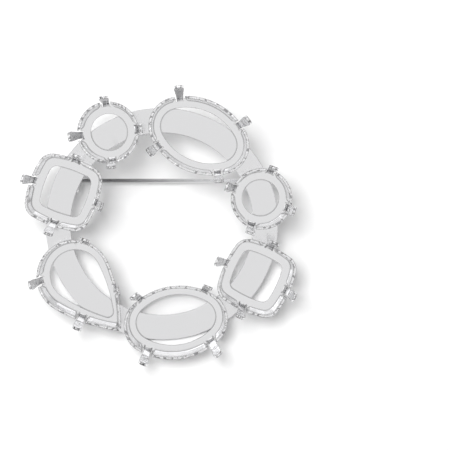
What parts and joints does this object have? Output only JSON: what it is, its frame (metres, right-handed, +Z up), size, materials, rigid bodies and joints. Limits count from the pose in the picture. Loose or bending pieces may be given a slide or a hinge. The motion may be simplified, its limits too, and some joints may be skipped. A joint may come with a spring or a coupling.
{
  "type": "circle pin brooch",
  "caption": "Round brooch blank: a flat ring with empty prong settings for stones on its front, a hinged pin stem and a turning safety catch on its back.",
  "frame": {"origin": "middle of the brooch's bounding box, on the surface it rests on", "axes": "+X along the pin stem from the hinge to the catch, +Z up from the surface it rests on, front of the ring looking up and tilted towards -Y"},
  "size_m": [0.0362, 0.0358, 0.015],
  "materials": {
    "bright_plate": "polished bright white plating on brass",
    "steel_wire": "polished steel wire"
  },
  "bodies": {
    "brooch": {"catch_body": "bright_plate", "joint_bracket": "bright_plate", "joint_rivet": "steel_wire", "ring_plate": "bright_plate", "setting_cushion_left": "bright_plate", "setting_cushion_right": "bright_plate", "setting_oval_bottom": "bright_plate", "setting_oval_top": "bright_plate", "setting_pear": "bright_plate", "setting_round_left": "bright_plate", "setting_round_right": "bright_plate"},
    "stem": {"pin_stem": "steel_wire"},
    "rotor": {"catch_rotor": "bright_plate"}
  },
  "joints": [
    {"name": "stem_hinge", "type": "hinge", "parent": "brooch", "child": "stem", "pos_m": [-0.01237, 0.00788, 0.00169], "axis": [0, 0.9712, 0.2381], "range_deg": [0, 95]},
    {"name": "rotor_turn", "type": "hinge", "parent": "brooch", "child": "rotor", "pos_m": [0.01293, 0.00788, 0.00169], "axis": [1, 0, 0], "range_deg": [0, 120]}
  ]
}
